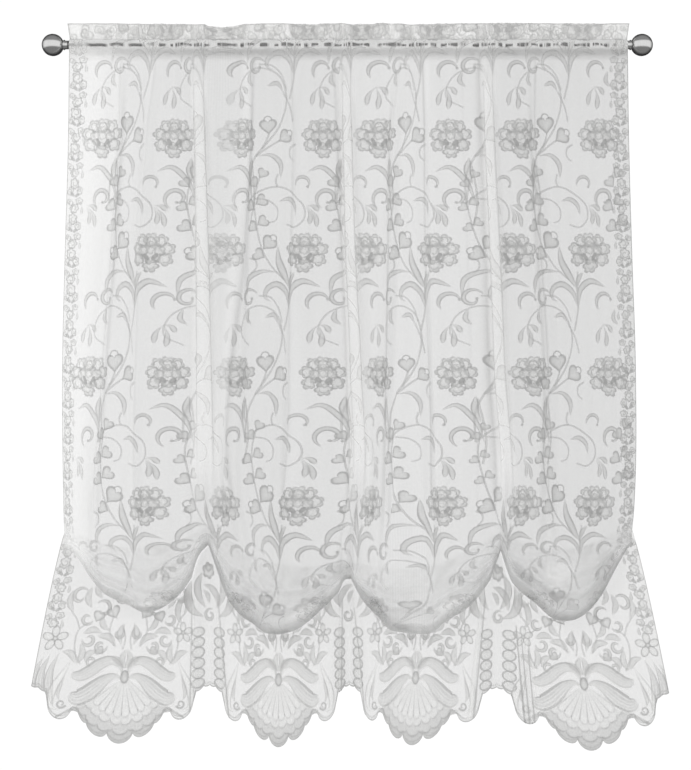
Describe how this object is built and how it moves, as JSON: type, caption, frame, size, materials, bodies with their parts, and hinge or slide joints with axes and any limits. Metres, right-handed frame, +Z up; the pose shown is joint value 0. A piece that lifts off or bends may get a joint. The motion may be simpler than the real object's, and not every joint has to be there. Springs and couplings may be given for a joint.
{
  "type": "lace balloon curtain panel on a rod",
  "caption": "Sheer white lace balloon curtain panel with a ruffled rod-pocket heading, gathered poufs and a flared scalloped skirt, hung on a plain rod with ball finials.",
  "frame": {"origin": "on the rod's axis at mid length, where the rod's brackets hold the part", "axes": "+X along the rod to the right as seen from the room, -Y towards the room, +Z up"},
  "size_m": [1.4209, 0.1183, 1.6151],
  "materials": {
    "lace": "sheer white machine lace with a floral repeat",
    "rod_metal": "brushed nickel"
  },
  "bodies": {
    "root": {"curtain": "lace", "rod": "rod_metal", "finial_left": "rod_metal", "finial_right": "rod_metal"}
  },
  "joints": []
}
